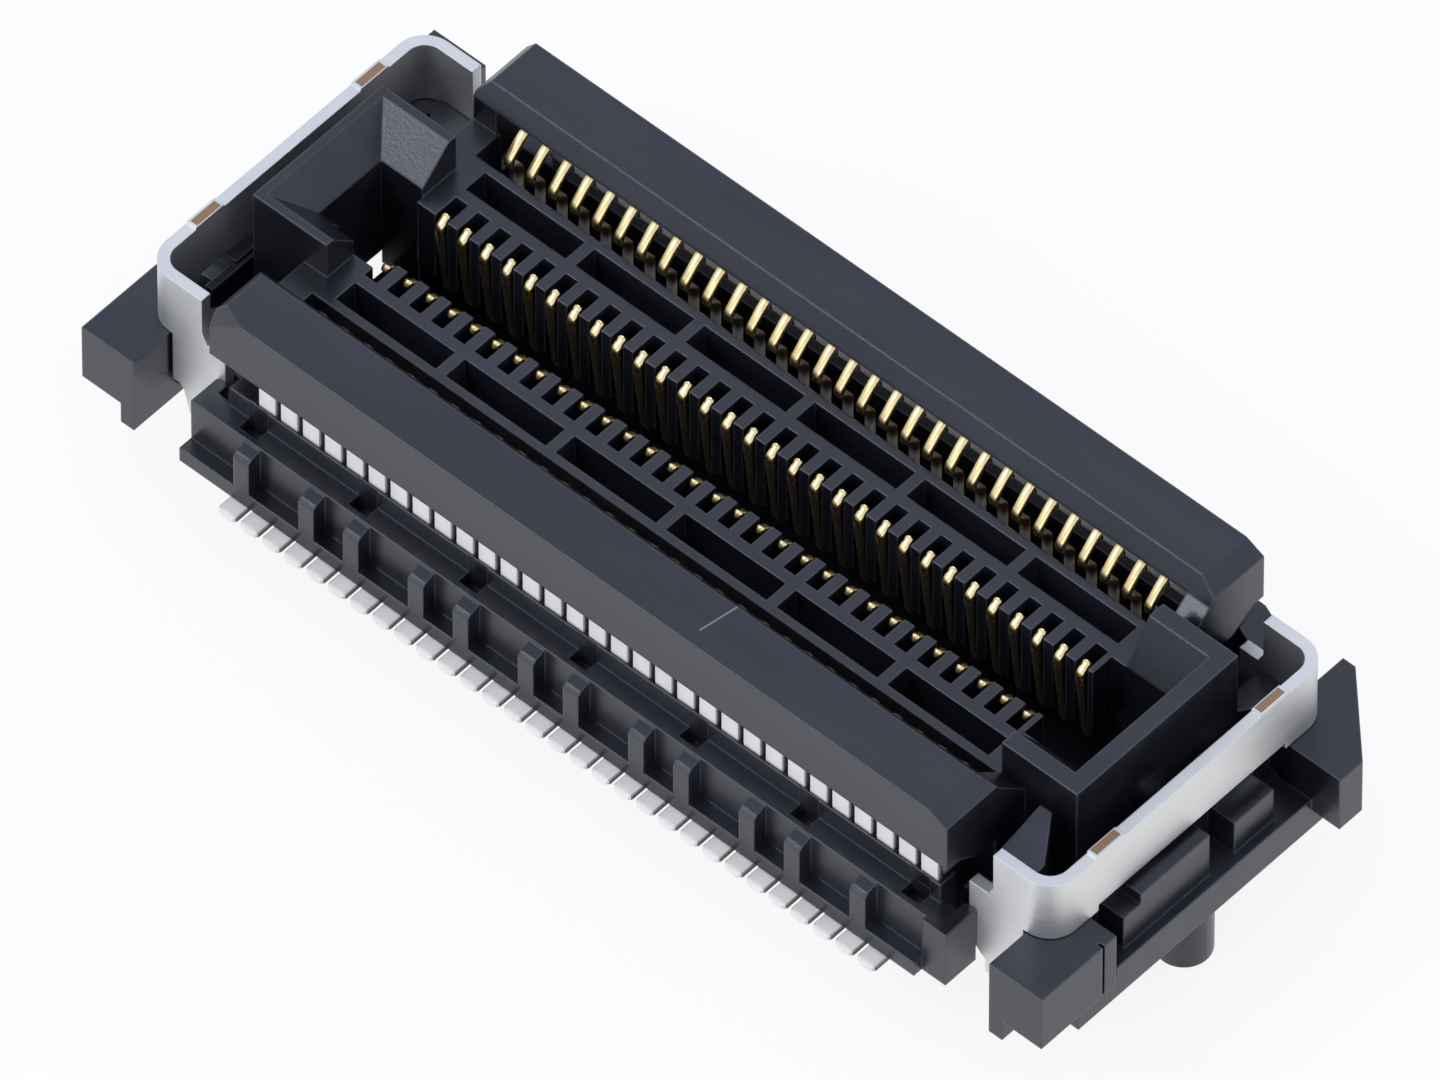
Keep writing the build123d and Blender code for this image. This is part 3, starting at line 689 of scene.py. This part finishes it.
def strip_rings(line):
    """(point, half width) along the strip, with rounded ends and the shoulder."""
    rings = []
    for i, p in enumerate(line):
        on_leg = abs(p.x - leg_y) < near
        if i and on_leg and line[i - 1].y < step_z <= p.y:
            rings += [(Vector((leg_y, step_z)), tail_w / 2),
                      (Vector((leg_y, step_z + shoulder_t)), arm_w / 2)]
        wide = p.x > leg_y + near or (on_leg and p.y < step_z)
        rings.append((p, tail_w / 2 if wide else arm_w / 2))
    tail_end, tail_next = rings[0][0], rings[1][0]
    inward = (tail_next - tail_end).normalized()
    rounded_tail = [
        (tail_end + inward * (tail_round * (1 - cos(a))),
         tail_w / 2 * (tail_end_share + (1 - tail_end_share) * sin(a)))
        for a in (0, radians(30), radians(60), radians(90))
    ]
    tip_end, tip_before = rings[-1][0], rings[-2][0]
    back = (tip_before - tip_end).normalized()
    rounded_tip = [
        (tip_end + back * (tip_round * (1 - cos(a))),
         arm_w / 2 * (tip_end_share + (1 - tip_end_share) * sin(a)))
        for a in (radians(90), radians(50), 0)
    ]
    return rounded_tail + rings[1:-1] + rounded_tip


contact_rings = strip_rings(centre_line)
print("rings", len(contact_rings), "narrow from", step_z + shoulder_t, "mm up")

# %% [markdown]
# The section is a flat bar with small bevels at its four edges, eight points in all. A curve with
# a bevel shape could sweep it too, but it could not change its width as sharply as the shoulder
# does, so each ring is placed in mesh code, square to the run of the strip. The faces between two
# rings take the gold finish above the shoulder and inside the wall, and the tin finish on the leg
# and the tail.

# %% Sweep the section
gold_index, tin_index = 0, 1
plated_inside = 0.2


def strip_section(half_w):
    """The eight points (across, out) of the section at a half width."""
    half_t = strip_t / 2
    return [
        (half_w - edge_r, half_t), (half_w, half_t - edge_r), (half_w, edge_r - half_t),
        (half_w - edge_r, -half_t), (edge_r - half_w, -half_t), (-half_w, edge_r - half_t),
        (-half_w, half_t - edge_r), (edge_r - half_w, half_t),
    ]


def add_strip(bm, rings, x, side):
    """One swept strip at x along the row, side +1 for the back row and -1 for the front."""
    loops = []
    for i, (p, half_w) in enumerate(rings):
        before = rings[max(0, i - 1)][0]
        after = rings[min(len(rings) - 1, i + 1)][0]
        run = (after - before).normalized()
        normal = Vector((-run.y, run.x))
        ring = []
        for across, out in strip_section(half_w):
            q = p + normal * out
            ring.append(bm.verts.new(((x + across) * MM, side * q.x * MM, q.y * MM)))
        loops.append((ring, p))
    for (a, pa), (b, pb) in zip(loops, loops[1:]):
        plated = (pa.y + pb.y) / 2 > step_z or (pa.x + pb.x) / 2 < leg_y - plated_inside
        for k in range(len(a)):
            following = (k + 1) % len(a)
            corners = [a[k], b[k], b[following], a[following]]
            face = bm.faces.new(corners if side > 0 else corners[::-1])
            face.material_index = gold_index if plated else tin_index
            face.smooth = True
    for ring, flip, index in ((loops[0][0], side > 0, tin_index),
                              (loops[-1][0], side < 0, gold_index)):
        face = bm.faces.new(ring[::-1] if flip else ring)
        face.material_index = index


crease_angle = radians(60)


def strips_object(name, strips, side, materials):
    """An object of swept strips, from (rings, x) for each."""
    bm = bmesh.new()
    for rings, x in strips:
        add_strip(bm, rings, x, side)
    bmesh.ops.recalc_face_normals(bm, faces=bm.faces)
    mesh = bpy.data.meshes.new(name)
    bm.to_mesh(mesh)
    bm.free()
    for material in materials:
        mesh.materials.append(material)
    mesh.set_sharp_from_angle(angle=crease_angle)
    piece = bpy.data.objects.new(name, mesh)
    bpy.context.scene.collection.objects.link(piece)
    return piece


print("points round the strip", len(strip_section(arm_w / 2)))

# %% [markdown]
# Thirty contacts stand in each row at a pitch of half a millimetre, and the frame holds them two to
# a node. Each pair of new strips replaces the solid pair of its node. The wall holds the legs still
# and the floating housing carries the points.

# %% Make the contacts
pitch = 0.5
contacts_per_row = 30

made = []
for row, side in (("back", 1), ("front", -1)):
    for n in range(contacts_per_row // 2):
        node = f"contacts_{row}_{n + 1:02d}"
        strips = [(contact_rings, (i - (contacts_per_row - 1) / 2) * pitch)
                  for i in (2 * n, 2 * n + 1)]
        springs = strips_object(f"springs_{row}_{n + 1:02d}", strips, side,
                                [spring_gold, leg_tin])
        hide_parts(node)
        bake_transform(springs)
        made.append(springs)
print("contact pieces", len(made), "faces each", len(made[0].data.polygons))

# %% [markdown]
# Beside the last contact of each row stands a short tinned piece of the same strip, whose foot lies
# on the wall. It looks like what is left of the carrier, and it shows as a bright corner. It could
# stay as its plain solid, but the node that holds it is replaced by the springs. So it is swept
# here with the same section, as one upright run and one flat run.

# %% Row stays
stay_x = 7.75
stay_low_z = 1.62
stay_high_z = 2.50
shelf_z = 2.005
shelf_end_y = 3.155
stay_runs = [
    [(Vector((leg_y, stay_low_z)), tail_w / 2), (Vector((leg_y, stay_high_z)), tail_w / 2)],
    [(Vector((leg_y, shelf_z)), tail_w / 2), (Vector((shelf_end_y, shelf_z)), tail_w / 2)],
]
stays = []
for row, side in (("back", 1), ("front", -1)):
    stay = strips_object(f"row_stay_{row}", [(run, stay_x) for run in stay_runs], side, [leg_tin])
    for face in stay.data.polygons:
        face.material_index = 0
    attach(stay, "base")
    stays.append(stay)
print("row stays", [o.name for o in stays])

# %% [markdown]
# The picture is finished with the standard view, so that the colours come out as written.

# %% Finish
bpy.context.scene.view_settings.view_transform = "Standard"
